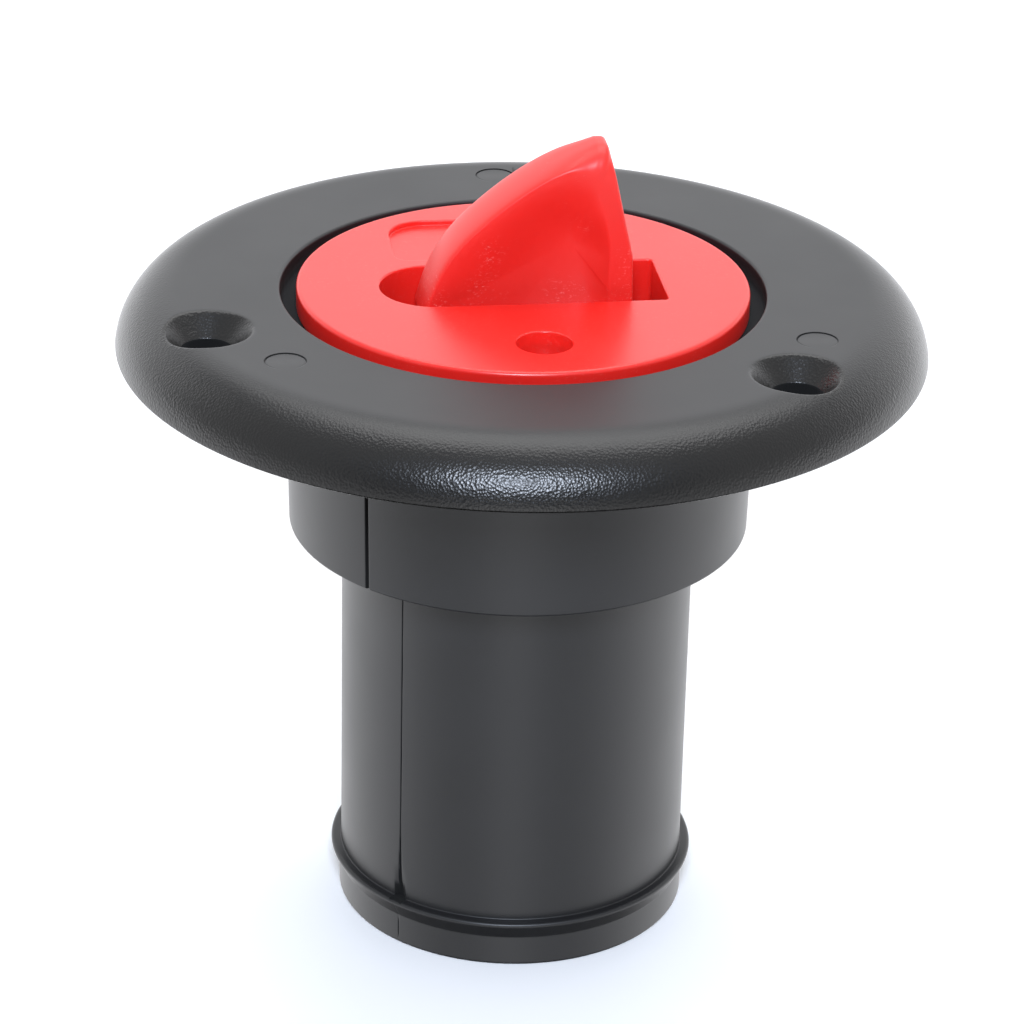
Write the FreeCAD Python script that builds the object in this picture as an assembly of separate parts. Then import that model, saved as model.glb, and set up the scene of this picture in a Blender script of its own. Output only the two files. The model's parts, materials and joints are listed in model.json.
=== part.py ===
"""Deck filler: a flush deck fitting with a hose tail, closed by a threaded cap that has a fold-down lever.

Millimetres. +Z is up, out of the deck. The origin is the centre of the three deck screws, on the
flange's underside. +X runs along the lever slot, from its finger scoop towards its hinge.
"""
import FreeCAD
import Part
import math
import os

V = FreeCAD.Vector

# ---- driving dimensions -------------------------------------------------------------------
# deck fitting: flange, neck and hose tail in one moulding
flange_r = 43.0
flange_t = 6.1
rim_round = 6.7            # radius of the rim's quarter round
edge_break = 0.3
opening_r = 25.6
ledge_z = 3.75             # the cap's head comes down on it
neck_bore_r = 22.4
collar_top_r = 25.1        # the collar tapers a little so that it leaves the mould
collar_foot_r = 24.7
collar_depth = 20.4
neck_floor_z = -18.6
hose_r = 19.0              # for a 38 mm hose
tail_bore_r = 16.6
shoulder_z = -60.0         # hose bead: a square shoulder above, a slope below
bead_r = 20.3
bead_corner = 0.6
bead_foot_z = -62.1        # below it the tail's end is plain, to start the hose on
tail_end_z = -65.6
tail_end_r = 19.2

# three countersunk screw holes, and the mark of an ejector pin beside each
screw_pcd = 70.0
screw_hole_r = 2.6
screw_sink_r = 4.85
first_screw_deg = 74.4
ejector_marks = [(33.2, 87.9), (31.9, 213.8), (32.8, 329.1)]   # radius, angle
ejector_mark_r = 2.1
ejector_mark_depth = 0.12

# screw thread between neck and cap
pitch = 4.0
thread_turns = 1.5
thread_start_deg = 25.0
neck_thread_start_z = -14.0
neck_thread_crest_r = 21.1
cap_thread_crest_r = 22.0
cap_core_r = 20.7
thread_root_width = 2.1
thread_crest_width = 1.1
thread_root_bite = 0.4     # how far a thread's root sinks into its wall

# cap
cap_top_z = 6.5
cap_r = 23.9
cap_head_t = 2.6
cap_edge_round = 0.4
cap_foot_z = -17.5
cap_skirt_t = 2.3
shank_r = 21.9             # plain shank between the head and the thread, with the seal's groove
shank_foot_z = -5.8
groove_r = 19.7
groove_high_z = -1.6
groove_low_z = -4.5
slot_scoop_x = -15.2       # the slot's round end
slot_end_x = 14.6          # its square end
slot_half_width = 5.65
pocket_floor_z = -17.1
pocket_foot_z = -18.3      # the pocket hangs a little below the skirt
pocket_wall_t = 1.7
key_hole_r = 2.9           # blind hole for the peg of a key, in front of the slot
key_hole_y = -16.1
key_hole_depth = 6.5
key_boss_t = 1.8
label_depth = 0.6
label_r = 20.2
label_half_width = 12.9
label_low_y = 7.4
label_high_y = 19.1
label_corner_r = 1.5

# lever: a dished quarter-round blade on a cross pin, raised at rest
hinge_x = 8.6
hinge_depth = 4.4          # below the cap's face, and so the same as the blade's spine above the pin
lever_half_t = 3.6
lever_lean_deg = 14.2      # from upright, towards the scoop
lever_reach = 20.6         # from the pin to the tip, along the spine
heel_r = 3.0
spine_bend = 7.55          # where the spine turns down towards the heel
blade_depth = 18.7         # from the pin to the blade's lower edge when it is stowed
dish_depth = 1.7
dish_r = 24.0
pin_r = 1.5
pin_half_length = 9.5
pin_boss_wall = 2.0
knuckle_half = 5.4         # the lever's knuckle nearly fills the slot
lever_bore_clearance = 0.06
pin_tip_chamfer = 0.3

# seal: an O-ring squeezed between the groove in the cap's shank and the neck
seal_gap = 0.05
seal_half_height = 1.4


def upright(point):
    """A (radius, z) point in the XZ plane."""
    return V(point[0], 0, point[1])


def revolve(points):
    """Solid of revolution about Z from (radius, z) points. A point may be ("arc", via, end)."""
    edges = []
    here = points[0]
    for step in points[1:] + [points[0]]:
        if step[0] == "arc":
            via, end = step[1], step[2]
            edges.append(Part.Arc(upright(here), upright(via), upright(end)).toShape())
            here = end
        elif step != here:
            edges.append(Part.makeLine(upright(here), upright(step)))
            here = step
    return Part.Face(Part.Wire(edges)).revolve(V(0, 0, 0), V(0, 0, 1), 360)


def on_circle(centre, radius, degrees):
    """Point of a circle in a profile's own plane."""
    a = math.radians(degrees)
    return (centre[0] + radius * math.cos(a), centre[1] + radius * math.sin(a))


def cylinder(radius, low_z, high_z, x=0.0, y=0.0):
    return Part.makeCylinder(radius, high_z - low_z, V(x, y, low_z))


def thread(root_r, crest_r, start_z, turns):
    """Trapezoidal ridge along a right-hand helix. Its root side sinks into the wall it grows from."""
    inward = 1.0 if crest_r > root_r else -1.0
    bitten_r = root_r - inward * thread_root_bite
    helix = Part.makeHelix(pitch, turns * pitch, root_r)
    corners = [
        V(bitten_r, 0, -thread_root_width / 2),
        V(root_r, 0, -thread_root_width / 2),
        V(crest_r, 0, -thread_crest_width / 2),
        V(crest_r, 0, thread_crest_width / 2),
        V(root_r, 0, thread_root_width / 2),
        V(bitten_r, 0, thread_root_width / 2),
    ]
    profile = Part.makePolygon(corners + corners[:1])
    ridge = Part.Wire(helix).makePipeShell([profile], True, True)
    ridge.rotate(V(0, 0, 0), V(0, 0, 1), thread_start_deg)
    ridge.translate(V(0, 0, start_z))
    return ridge


def make_deck_fitting():
    """Flange, neck and hose tail: one black moulding, bored right through."""
    rim_centre = (flange_r - rim_round, flange_t - rim_round)
    foot_deg = math.degrees(math.asin((edge_break - rim_centre[1]) / rim_round))
    rim_top = on_circle(rim_centre, rim_round, 90)
    rim_mid = on_circle(rim_centre, rim_round, (90 + foot_deg) / 2)
    rim_foot = on_circle(rim_centre, rim_round, foot_deg)
    bead_centre = (bead_r - bead_corner, shoulder_z - bead_corner)
    profile = [
        (opening_r + edge_break, flange_t),
        rim_top,
        ("arc", rim_mid, rim_foot),
        (rim_foot[0] - edge_break, 0.0),
        (collar_top_r, 0.0),
        (collar_foot_r, -collar_depth + edge_break),
        (collar_foot_r - edge_break, -collar_depth),
        (hose_r, -collar_depth),
        (hose_r, shoulder_z),
        (bead_centre[0], shoulder_z),
        ("arc", on_circle(bead_centre, bead_corner, 45), (bead_r, bead_centre[1])),
        (tail_end_r, bead_foot_z),
        (tail_end_r, tail_end_z + edge_break),
        (tail_end_r - edge_break, tail_end_z),
        (tail_bore_r, tail_end_z),
        (tail_bore_r, neck_floor_z),
        (neck_bore_r, neck_floor_z),
        (neck_bore_r, ledge_z),
        (opening_r, ledge_z),
        (opening_r, flange_t - edge_break),
    ]
    body = revolve(profile)
    body = body.fuse(thread(neck_bore_r, neck_thread_crest_r, neck_thread_start_z, thread_turns))
    sink_depth = screw_sink_r - screw_hole_r
    for i in range(3):
        a = math.radians(first_screw_deg + 120 * i)
        at = V(screw_pcd / 2 * math.cos(a), screw_pcd / 2 * math.sin(a), 0)
        hole = Part.makeCylinder(screw_hole_r, flange_t + 2, at + V(0, 0, -1))
        sink = Part.makeCone(screw_hole_r, screw_sink_r, sink_depth, at + V(0, 0, flange_t - sink_depth))
        body = body.cut(hole).cut(sink)
    for radius, degrees in ejector_marks:
        a = math.radians(degrees)
        x, y = radius * math.cos(a), radius * math.sin(a)
        body = body.cut(cylinder(ejector_mark_r, flange_t - ejector_mark_depth, flange_t + 1, x, y))
    return body


def slot_prism(margin, low_z, high_z):
    """The lever slot's outline, round at the scoop end and square at the hinge end, grown by margin."""
    half = slot_half_width + margin
    scoop_centre = V(slot_scoop_x + slot_half_width, 0, low_z)
    end_x = slot_end_x + margin
    top_left = V(scoop_centre.x, half, low_z)
    low_left = V(scoop_centre.x, -half, low_z)
    top_right = V(end_x, half, low_z)
    low_right = V(end_x, -half, low_z)
    round_end = Part.Arc(top_left, V(scoop_centre.x - half, 0, low_z), low_left).toShape()
    outline = Part.Wire([
        round_end,
        Part.makeLine(low_left, low_right),
        Part.makeLine(low_right, top_right),
        Part.makeLine(top_right, top_left),
    ])
    return Part.Face(outline).extrude(V(0, 0, high_z - low_z))


def label_field():
    """Sunken field on the far side of the cap's face, left blank."""
    low_corner = V(-label_half_width, label_low_y, cap_top_z - label_depth)
    plate = Part.makeBox(2 * label_half_width, label_high_y - label_low_y, 2, low_corner)
    corners = [edge for edge in plate.Edges if edge.BoundBox.ZLength > 1]
    plate = plate.makeFillet(label_corner_r, corners)
    return plate.common(cylinder(label_r, cap_top_z - 1, cap_top_z + 2))


def make_cap():
    """Threaded red cap: head, grooved shank, hollow threaded skirt, lever pocket, key hole and pin bore.

    The pin goes in from the shank's side, above the seal. A web round its bore keeps it closed to the neck.
    """
    under_head_z = cap_top_z - cap_head_t
    profile = [
        (0.0, cap_top_z),
        (cap_r - cap_edge_round, cap_top_z),
        (
            "arc",
            on_circle((cap_r - cap_edge_round, cap_top_z - cap_edge_round), cap_edge_round, 45),
            (cap_r, cap_top_z - cap_edge_round),
        ),
        (cap_r, under_head_z),
        (shank_r, under_head_z),
        (shank_r, groove_high_z),
        (groove_r, groove_high_z),
        (groove_r, groove_low_z),
        (shank_r, groove_low_z),
        (shank_r, shank_foot_z),
        (cap_core_r, shank_foot_z),
        (cap_core_r, cap_foot_z),
        (0.0, cap_foot_z),
    ]
    skirt_thread_z = neck_thread_start_z - pitch / 2
    cap = revolve(profile).fuse(thread(cap_core_r, cap_thread_crest_r, skirt_thread_z, thread_turns))
    inside = cylinder(cap_core_r - cap_skirt_t, cap_foot_z - 1, under_head_z)
    keep = slot_prism(pocket_wall_t, pocket_foot_z, cap_top_z)
    key_floor_z = cap_top_z - key_hole_depth
    keep = keep.fuse(cylinder(key_hole_r + key_boss_t, key_floor_z - key_boss_t, cap_top_z, 0, key_hole_y))
    pin_z = cap_top_z - hinge_depth
    boss_half = pin_r + pin_boss_wall
    boss_far_y = pin_half_length + pin_boss_wall
    boss_low = V(hinge_x - boss_half, -cap_core_r, pin_z - boss_half)
    pin_boss = Part.makeBox(2 * boss_half, cap_core_r + boss_far_y, under_head_z - boss_low.z, boss_low)
    cap = cap.cut(inside.cut(keep.fuse(pin_boss)))
    cap = cap.fuse(slot_prism(pocket_wall_t, pocket_foot_z, cap_foot_z + 1))
    cap = cap.cut(slot_prism(0, pocket_floor_z, cap_top_z + 1))
    cap = cap.cut(cylinder(key_hole_r, key_floor_z, cap_top_z + 1, 0, key_hole_y))
    cap = cap.cut(label_field())
    bore = Part.makeCylinder(pin_r, cap_r + pin_half_length, V(hinge_x, -cap_r, pin_z), V(0, 1, 0))
    return cap.cut(bore)


def lever_point(along, below, y=0.0):
    """A point of the lever: its distance along the spine from the pin, and below the pin when stowed."""
    a = math.radians(lever_lean_deg)
    x = hinge_x - along * math.sin(a) - below * math.cos(a)
    z = cap_top_z - hinge_depth + along * math.cos(a) - below * math.sin(a)
    return V(x, y, z)


def make_lever():
    """Quarter-round blade with a rounded rim and a shallow dish in each face, bored for the pin."""
    spine = -hinge_depth
    face = -lever_half_t
    lean = math.radians(lever_lean_deg)
    heel_top = lever_point(heel_r * math.sin(lean), -heel_r * math.cos(lean), face)
    heel_back = lever_point(-heel_r * math.sin(math.pi / 4), -heel_r * math.sin(math.pi / 4), face)
    heel_low = lever_point(-heel_r, 0, face)
    low_back = lever_point(-heel_r, blade_depth, face)
    low_front = lever_point(7.0, blade_depth, face)
    rim_low = lever_point(11.2, 16.1, face)
    rim_turn = lever_point(14.5, 12.2, face)
    rim_high = lever_point(17.9, 4.8, face)
    tip = lever_point(lever_reach - 0.6, spine + 0.9, face)
    tip_spine = lever_point(lever_reach - 1.4, spine, face)
    bend = lever_point(spine_bend, spine, face)
    outline = Part.Wire([
        Part.makeLine(heel_low, low_back),
        Part.makeLine(low_back, low_front),
        Part.Arc(low_front, rim_low, rim_turn).toShape(),
        Part.Arc(rim_turn, rim_high, tip).toShape(),
        Part.makeLine(tip, tip_spine),
        Part.makeLine(tip_spine, bend),
        Part.makeLine(bend, heel_top),
        Part.Arc(heel_top, heel_back, heel_low).toShape(),
    ])
    blade = Part.Face(outline).extrude(V(0, 2 * lever_half_t, 0))
    rim = [e for e in blade.Edges if isinstance(e.Curve, Part.Circle) and e.Curve.Radius > 2 * heel_r
           and e.BoundBox.YLength < 0.01]
    blade = blade.makeFillet(2.2, rim)
    for side in (-1, 1):
        centre = lever_point(8.6, 3.6, side * (lever_half_t - dish_depth + dish_r))
        blade = blade.cut(Part.makeSphere(dish_r, centre))
    knuckle = Part.makeCylinder(heel_r, 2 * knuckle_half, lever_point(0, 0, -knuckle_half), V(0, 1, 0))
    blade = blade.fuse(knuckle)
    bore_r = pin_r + lever_bore_clearance
    bore = Part.makeCylinder(bore_r, 4 * lever_half_t, lever_point(0, 0, -2 * lever_half_t), V(0, 1, 0))
    return blade.cut(bore)


def make_hinge_pin():
    """Plain stainless pin, pressed into the cap and free in the lever."""
    start = V(hinge_x, -pin_half_length, cap_top_z - hinge_depth)
    pin = Part.makeCylinder(pin_r, 2 * pin_half_length, start, V(0, 1, 0))
    ends = [e for e in pin.Edges if isinstance(e.Curve, Part.Circle)]
    return pin.makeChamfer(pin_tip_chamfer, ends)


def make_cap_seal():
    """O-ring drawn as it sits, squeezed to an oval section."""
    low_r = groove_r + seal_gap
    high_r = neck_bore_r - seal_gap
    middle_r = (low_r + high_r) / 2
    half_width = (high_r - low_r) / 2
    middle_z = (groove_high_z + groove_low_z) / 2
    side = seal_half_height - half_width
    return revolve([
        (low_r, middle_z - side),
        ("arc", (middle_r, middle_z - seal_half_height), (high_r, middle_z - side)),
        (high_r, middle_z + side),
        ("arc", (middle_r, middle_z + seal_half_height), (low_r, middle_z + side)),
    ])


def main():
    os.makedirs("parts", exist_ok=True)
    pieces = {
        "deck_fitting": make_deck_fitting(),
        "cap": make_cap(),
        "lever": make_lever(),
        "hinge_pin": make_hinge_pin(),
        "cap_seal": make_cap_seal(),
    }
    for name, shape in pieces.items():
        solid = shape.Solids[0] if len(shape.Solids) == 1 else shape
        solid.exportStep(f"parts/{name}.step")
        box = solid.BoundBox
        print(f"{name}: valid {solid.isValid()}, solids {len(shape.Solids)}, volume {solid.Volume:.0f} mm3, "
              f"z {box.ZMin:.2f} to {box.ZMax:.2f}, x {box.XMin:.2f} to {box.XMax:.2f}")


main()
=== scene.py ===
"""Looks of the flush deck filler: black nylon fitting, red screw cap and its fold-down lever.

Lengths are worked out in millimetres, from the middle of the flange's underside with Z up, and a mesh
is written in metres.
"""

import json
import math

import bmesh
import bpy
import numpy as np
from mathutils import Matrix, Vector
from mathutils.geometry import tessellate_polygon


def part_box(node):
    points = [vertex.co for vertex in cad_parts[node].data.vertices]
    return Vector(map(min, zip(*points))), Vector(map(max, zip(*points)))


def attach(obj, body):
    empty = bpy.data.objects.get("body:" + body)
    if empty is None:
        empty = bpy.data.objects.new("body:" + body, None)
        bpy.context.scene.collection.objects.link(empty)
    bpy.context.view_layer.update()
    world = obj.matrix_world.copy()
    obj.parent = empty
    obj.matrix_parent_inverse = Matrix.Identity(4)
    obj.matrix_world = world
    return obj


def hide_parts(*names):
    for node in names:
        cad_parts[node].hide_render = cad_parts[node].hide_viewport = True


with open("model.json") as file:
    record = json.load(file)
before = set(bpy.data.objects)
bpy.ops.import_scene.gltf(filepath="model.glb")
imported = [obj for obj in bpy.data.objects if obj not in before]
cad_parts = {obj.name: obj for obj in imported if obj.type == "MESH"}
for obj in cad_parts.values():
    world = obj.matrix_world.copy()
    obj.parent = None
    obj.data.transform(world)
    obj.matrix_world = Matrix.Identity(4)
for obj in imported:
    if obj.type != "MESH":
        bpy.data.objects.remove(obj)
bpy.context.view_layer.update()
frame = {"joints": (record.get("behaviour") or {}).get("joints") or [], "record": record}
MM = 0.001


# ---- the place: a pale floor, soft studio light and the camera -----------------------------
# A light tent: white all round, with a dark gap behind the camera where the operator stands and a darker
# seam high up behind the object. Reflections don't see the floor: under the object the tent's low walls
# stand for it. A wide lamp overhead and a small one in front give the rim its highlight.

def srgb(code):
    """Linear colour of an sRGB hex code such as "d2140f"."""
    value = np.array([int(code[i:i + 2], 16) for i in (0, 2, 4)]) / 255.0
    linear = np.where(value <= 0.04045, value / 12.92, ((value + 0.055) / 1.055) ** 2.4)
    return (*linear.tolist(), 1.0)


def add_node(tree, kind, settings=None, **links):
    """Adds a node. A link is a value, or another node's output. A name such as Input_2 is socket 2."""
    node = tree.nodes.new(kind)
    for name, value in (settings or {}).items():
        setattr(node, name, value)
    for name, value in links.items():
        key = int(name.split("_")[1]) if name.startswith("Input_") else name.replace("_", " ")
        if isinstance(value, bpy.types.NodeSocket):
            tree.links.new(value, node.inputs[key])
        else:
            node.inputs[key].default_value = value
    return node


def turned(vector, axis, angle):
    """A vector turned about a unit axis by an angle in radians."""
    return Matrix.Rotation(angle, 3, axis) @ vector


camera_distance = 0.419105
camera_height = math.radians(22.941)
camera_round = math.radians(-8.2)
camera_pan = 0.0015
camera_tilt = -0.0436
camera_roll = -0.0237

away = Vector((0, math.cos(camera_height), -math.sin(camera_height)))
right = away.cross(Vector((0, 0, 1))).normalized()
up = right.cross(away)
away, right = turned(away, up, camera_pan), turned(right, up, camera_pan)
away, up = turned(away, right, camera_tilt), turned(up, right, camera_tilt)
right, up = turned(right, away, camera_roll), turned(up, away, camera_roll)
place = Vector((0, -math.cos(camera_height), math.sin(camera_height))) * camera_distance

camera = bpy.data.objects.new("camera", bpy.data.cameras.new("camera"))
camera.data.lens = 138.9
camera.data.sensor_width = 36.0
camera.data.clip_start = 0.01
axes = Matrix((right, up, -away)).transposed().to_4x4()
camera.matrix_world = Matrix.Rotation(camera_round, 4, "Z") @ Matrix.Translation(place) @ axes
bpy.context.scene.collection.objects.link(camera)
bpy.context.scene.camera = camera
bpy.context.scene.view_settings.view_transform = "Standard"


def add_lamp(name, position, aim, size, power, colour):
    """A rectangular soft lamp at a place in metres, facing a point."""
    lamp = bpy.data.lights.new(name, "AREA")
    lamp.shape = "RECTANGLE"
    lamp.size, lamp.size_y = size
    lamp.energy = power
    lamp.color = srgb(colour)[:3]
    holder = bpy.data.objects.new(name, lamp)
    holder.location = position
    holder.rotation_euler = (Vector(aim) - Vector(position)).to_track_quat("-Z", "Y").to_euler()
    bpy.context.scene.collection.objects.link(holder)


add_lamp("overhead_lamp", (0.1, 0.35, 0.9), (0, 0, 0), (0.9, 0.7), 6.0, "ffffff")
add_lamp("front_lamp", (-0.09, -0.64, 0.47), (0, 0, 0), (0.17, 0.20), 7.0, "e2edff")

world = bpy.data.worlds.new("light_tent")
world.use_nodes = True
sky = world.node_tree
sky.nodes.clear()
to_front = Vector((math.sin(camera_round), -math.cos(camera_round), 0))
direction = add_node(sky, "ShaderNodeTexCoord").outputs["Generated"]
to_operator = (to_front + Vector((0, 0, 0.39))).normalized()
frontness = add_node(sky, "ShaderNodeVectorMath", {"operation": "DOT_PRODUCT"}, Input_0=direction,
                     Input_1=tuple(to_front)).outputs["Value"]
operator_way = add_node(sky, "ShaderNodeVectorMath", {"operation": "DOT_PRODUCT"}, Input_0=direction,
                        Input_1=tuple(to_operator)).outputs["Value"]
height_way = add_node(sky, "ShaderNodeSeparateXYZ", Vector=direction).outputs["Z"]


def ramp(value, start, end, first, last):
    """A value's soft step in the sky: first up to start, last from end on."""
    return add_node(sky, "ShaderNodeMapRange", {"interpolation_type": "SMOOTHSTEP"}, Value=value,
                    From_Min=start, From_Max=end, To_Min=first, To_Max=last).outputs[0]


def sky_math(operation, a, b):
    """One sum or product in the sky."""
    return add_node(sky, "ShaderNodeMath", {"operation": operation}, Input_0=a, Input_1=b).outputs[0]


# above: bright low down behind the object, then the darker seam, then half as bright up to the top
back_wall = sky_math("ADD", ramp(height_way, 0.52, 0.66, 1.55, 0.25), ramp(height_way, 0.8, 0.92, 0.0, 0.55))
back_share = ramp(frontness, -0.2, -0.6, 0.0, 1.0)
back_part = sky_math("MULTIPLY", back_wall, back_share)
side_part = sky_math("MULTIPLY", sky_math("SUBTRACT", 1.0, back_share), 0.78)
operator_gap = ramp(operator_way, 0.62, 0.93, 1.0, 0.03)
above = sky_math("MULTIPLY", sky_math("ADD", back_part, side_part), operator_gap)

# below: low walls that are brightest behind, with a strip of light in front, over a dark ground
sideways = add_node(sky, "ShaderNodeVectorMath", {"operation": "DOT_PRODUCT"}, Input_0=direction,
                    Input_1=(-to_front.y, to_front.x, 0)).outputs["Value"]
front_strip = ramp(sky_math("ABSOLUTE", sideways, 0.0), 0.05, 0.3, 1.1, 0.0)
low_wall = sky_math("ADD", ramp(frontness, -0.1, 0.75, 2.05, 1.0),
                    sky_math("MULTIPLY", front_strip, ramp(frontness, 0.0, 0.5, 0.0, 1.0)))
below = sky_math("MULTIPLY", low_wall, ramp(height_way, -0.85, -0.6, 0.02, 1.0))

above_horizon = ramp(height_way, -0.03, 0.03, 0.0, 1.0)
tent = add_node(sky, "ShaderNodeMix", {"data_type": "FLOAT"}, Input_0=above_horizon, Input_2=below,
                Input_3=above)
glow = add_node(sky, "ShaderNodeBackground", Color=srgb("fbfcff"), Strength=tent.outputs[0])
add_node(sky, "ShaderNodeOutputWorld", Surface=glow.outputs[0])
bpy.context.scene.world = world

floor_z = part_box("deck_fitting")[0].z
floor_half = 4.0
floor_mesh = bpy.data.meshes.new("floor")
floor_corners = [(x * floor_half, y * floor_half, floor_z) for x, y in ((-1, -1), (1, -1), (1, 1), (-1, 1))]
floor_mesh.from_pydata(floor_corners, [], [(0, 1, 2, 3)])
floor = bpy.data.objects.new("floor", floor_mesh)
bpy.context.scene.collection.objects.link(floor)
card = bpy.data.materials.new("white_card")
card.use_nodes = True
card_shader = card.node_tree.nodes["Principled BSDF"]
card_shader.inputs["Base Color"].default_value = srgb("fbfbfb")
card_shader.inputs["Roughness"].default_value = 0.9
floor_mesh.materials.append(card)
floor.visible_glossy = False


# ---- deck fitting ----------------------------------------------------------------------------
# Flange, collar and hose tail are one moulding in black glass-filled nylon. Its rim is spark-eroded
# and sparkles, its flat and its tail are plain satin. Two slides of the mould meet in a line down
# the collar and tail, and three ejector pins left round marks beside the screw holes.

flange_r = 43.0
flange_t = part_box("deck_fitting")[1].z / MM
tail_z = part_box("deck_fitting")[0].z / MM
rim_round = 6.7
grain_fade = 4.5
opening_r = 25.6
ledge_z = 3.75
neck_bore_r = 22.4
collar_top_r, collar_foot_r = 25.1, 24.7
collar_foot_z = -20.4
neck_floor_z = -18.6
hose_r = 19.0
tail_bore_r = 16.6
shoulder_z = -60.0
bead_r = 20.3
bead_foot_z = -62.1
tail_end_r = 19.2
wedge_top_z = -53.2
grid_columns = 320
screw_pcd = 70.0
screw_hole_r = 2.6
screw_sink_r = 4.85
first_screw_angle = math.radians(74.4)
ejector_marks = ((33.2, 87.9), (31.9, 213.8), (32.8, 329.1))   # radius and degrees of each
ejector_mark_r = 2.1
parting_angle = math.radians(223.1)
pitch = 4.0


def arc(centre, radius, start, end, steps):
    """Points of a circle's arc, from start to end in degrees."""
    a = np.radians(np.linspace(start, end, steps + 1))
    return np.stack([centre[0] + radius * np.cos(a), centre[1] + radius * np.sin(a)], 1)


def rounded(corners, steps=4, hold=0.12, closed=True):
    """An outline of straight runs from (x, y, round) corners. A corner with a round is cut back by its
    tangent length, round * tan(turn / 2), and bridged by an arc. A point is held just off each end of
    the arc, so that the runs stay flat when they are shaded smooth."""
    corners = np.array(corners, float)
    points = corners[:, :2]
    made = []
    for i, (x, y, radius) in enumerate(corners):
        if radius == 0 or (not closed and i in (0, len(corners) - 1)):
            made.append([(x, y)])
            continue
        here = points[i]
        back, on = points[i - 1] - here, points[(i + 1) % len(points)] - here
        back, on = back / np.linalg.norm(back), on / np.linalg.norm(on)
        half = np.arccos(np.clip(back @ on, -1, 1)) / 2
        cut = radius / np.tan(half)
        middle = here + (back + on) / np.linalg.norm(back + on) * radius / np.sin(half)
        start, end = here + back * cut - middle, here + on * cut - middle
        sweep = math.atan2(start[0] * end[1] - start[1] * end[0], start @ end)
        a = np.linspace(0, sweep, steps + 1)[:, None]
        across = np.array([-start[1], start[0]])
        bend = middle + start * np.cos(a) + across * np.sin(a)
        made.append(np.concatenate([[here + back * (cut + hold)], bend, [here + on * (cut + hold)]]))
    return np.concatenate(made)


def smooth_min(a, b, width):
    """The lower of two heights, with their crossing rounded over about four widths."""
    low = np.minimum(a, b)
    return low - width * np.log(np.exp((low - a) / width) + np.exp((low - b) / width))


def grid_faces(rows, columns, close_rows=False, close_columns=True):
    """Four-sided faces of a grid of vertices numbered row by row."""
    i = np.arange(rows if close_rows else rows - 1)[:, None]
    j = np.arange(columns if close_columns else columns - 1)[None, :]
    i2, j2 = (i + 1) % rows, (j + 1) % columns
    corners = [i * columns + j, i * columns + j2, i2 * columns + j2, i2 * columns + j]
    return np.stack(np.broadcast_arrays(*corners), -1).reshape(-1, 4)


def spin(profile, angles):
    """A (radius, z) profile turned about the Z axis: x = r cos a, y = r sin a."""
    r, z = profile[:, :1], profile[:, 1:]
    return np.stack([r * np.cos(angles), r * np.sin(angles), np.broadcast_to(z, (len(r), len(angles)))], -1)


def helix_ridge(root_r, crest_r, start_z, turns, root_width, crest_width, start_deg):
    """A thread's ridge: a trapezoid carried round a helix of the thread's pitch. It sinks 0.4 mm into its
    wall, and over its first and last eighth of a turn it runs down into the wall."""
    steps = 240
    t = np.linspace(0, turns, steps)[:, None]
    inward = 1.0 if crest_r > root_r else -1.0
    foot = root_r - 0.4 * inward
    run_out = np.clip(np.minimum(t, turns - t) / 0.125, 0.02, 1)
    half_root, half_crest = root_width / 2, crest_width / 2
    section = rounded([(foot, -half_root, 0), (root_r, -half_root, 0), (crest_r, -half_crest, 0.25),
                       (crest_r, half_crest, 0.25), (root_r, half_root, 0), (foot, half_root, 0)],
                      steps=3, hold=0.05)
    r = foot + (section[:, 0][None, :] - foot) * (0.35 + 0.65 * run_out ** 0.5)
    z = start_z + pitch * t + section[:, 1][None, :] * run_out ** 0.5
    a = math.radians(start_deg) + 2 * math.pi * t
    return np.stack([r * np.cos(a), r * np.sin(a), np.broadcast_to(z, r.shape)], -1)


class Shell:
    """Vertices and faces gathered for one piece, in millimetres."""

    def __init__(self):
        self.points, self.faces, self.marks, self.count = [], [], [], 0

    def add(self, points, faces, mark=0.0):
        """Adds vertices with their faces, numbered from 0 within them. mark is painted on them."""
        points = np.asarray(points, float).reshape(-1, 3)
        self.points.append(points)
        self.marks.append(np.broadcast_to(np.asarray(mark, float).reshape(-1), (len(points),)))
        self.faces += [[int(k) + self.count for k in face] for face in faces]
        self.count += len(points)
        return self.count - len(points)

    def add_grid(self, points, close_rows=False, close_columns=True, mark=0.0, ends=False):
        """Adds a grid of vertices. With ends, the first and last rows are each closed by one face."""
        rows, columns = points.shape[:2]
        faces = grid_faces(rows, columns, close_rows, close_columns).tolist()
        if ends:
            faces += [list(range(columns))[::-1], list(range((rows - 1) * columns, rows * columns))]
        return self.add(points, faces, mark)

    def mesh(self, name, material, merge=0.0005):
        """The finished object: doubles merged, faces pointing out, shaded smooth, in metres."""
        data = bpy.data.meshes.new(name)
        data.from_pydata(np.concatenate(self.points).tolist(), [], self.faces)
        layer = data.attributes.new("mark", "FLOAT", "POINT")
        layer.data.foreach_set("value", np.concatenate(self.marks).astype(np.float32))
        shape = bmesh.new()
        shape.from_mesh(data)
        bmesh.ops.remove_doubles(shape, verts=shape.verts, dist=merge)
        bmesh.ops.dissolve_degenerate(shape, edges=shape.edges, dist=merge / 5)
        bmesh.ops.recalc_face_normals(shape, faces=shape.faces)
        bmesh.ops.scale(shape, vec=(MM, MM, MM), verts=shape.verts)
        shape.to_mesh(data)
        shape.free()
        data.shade_smooth()
        data.materials.append(material)
        made = bpy.data.objects.new(name, data)
        bpy.context.scene.collection.objects.link(made)
        return made


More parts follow.
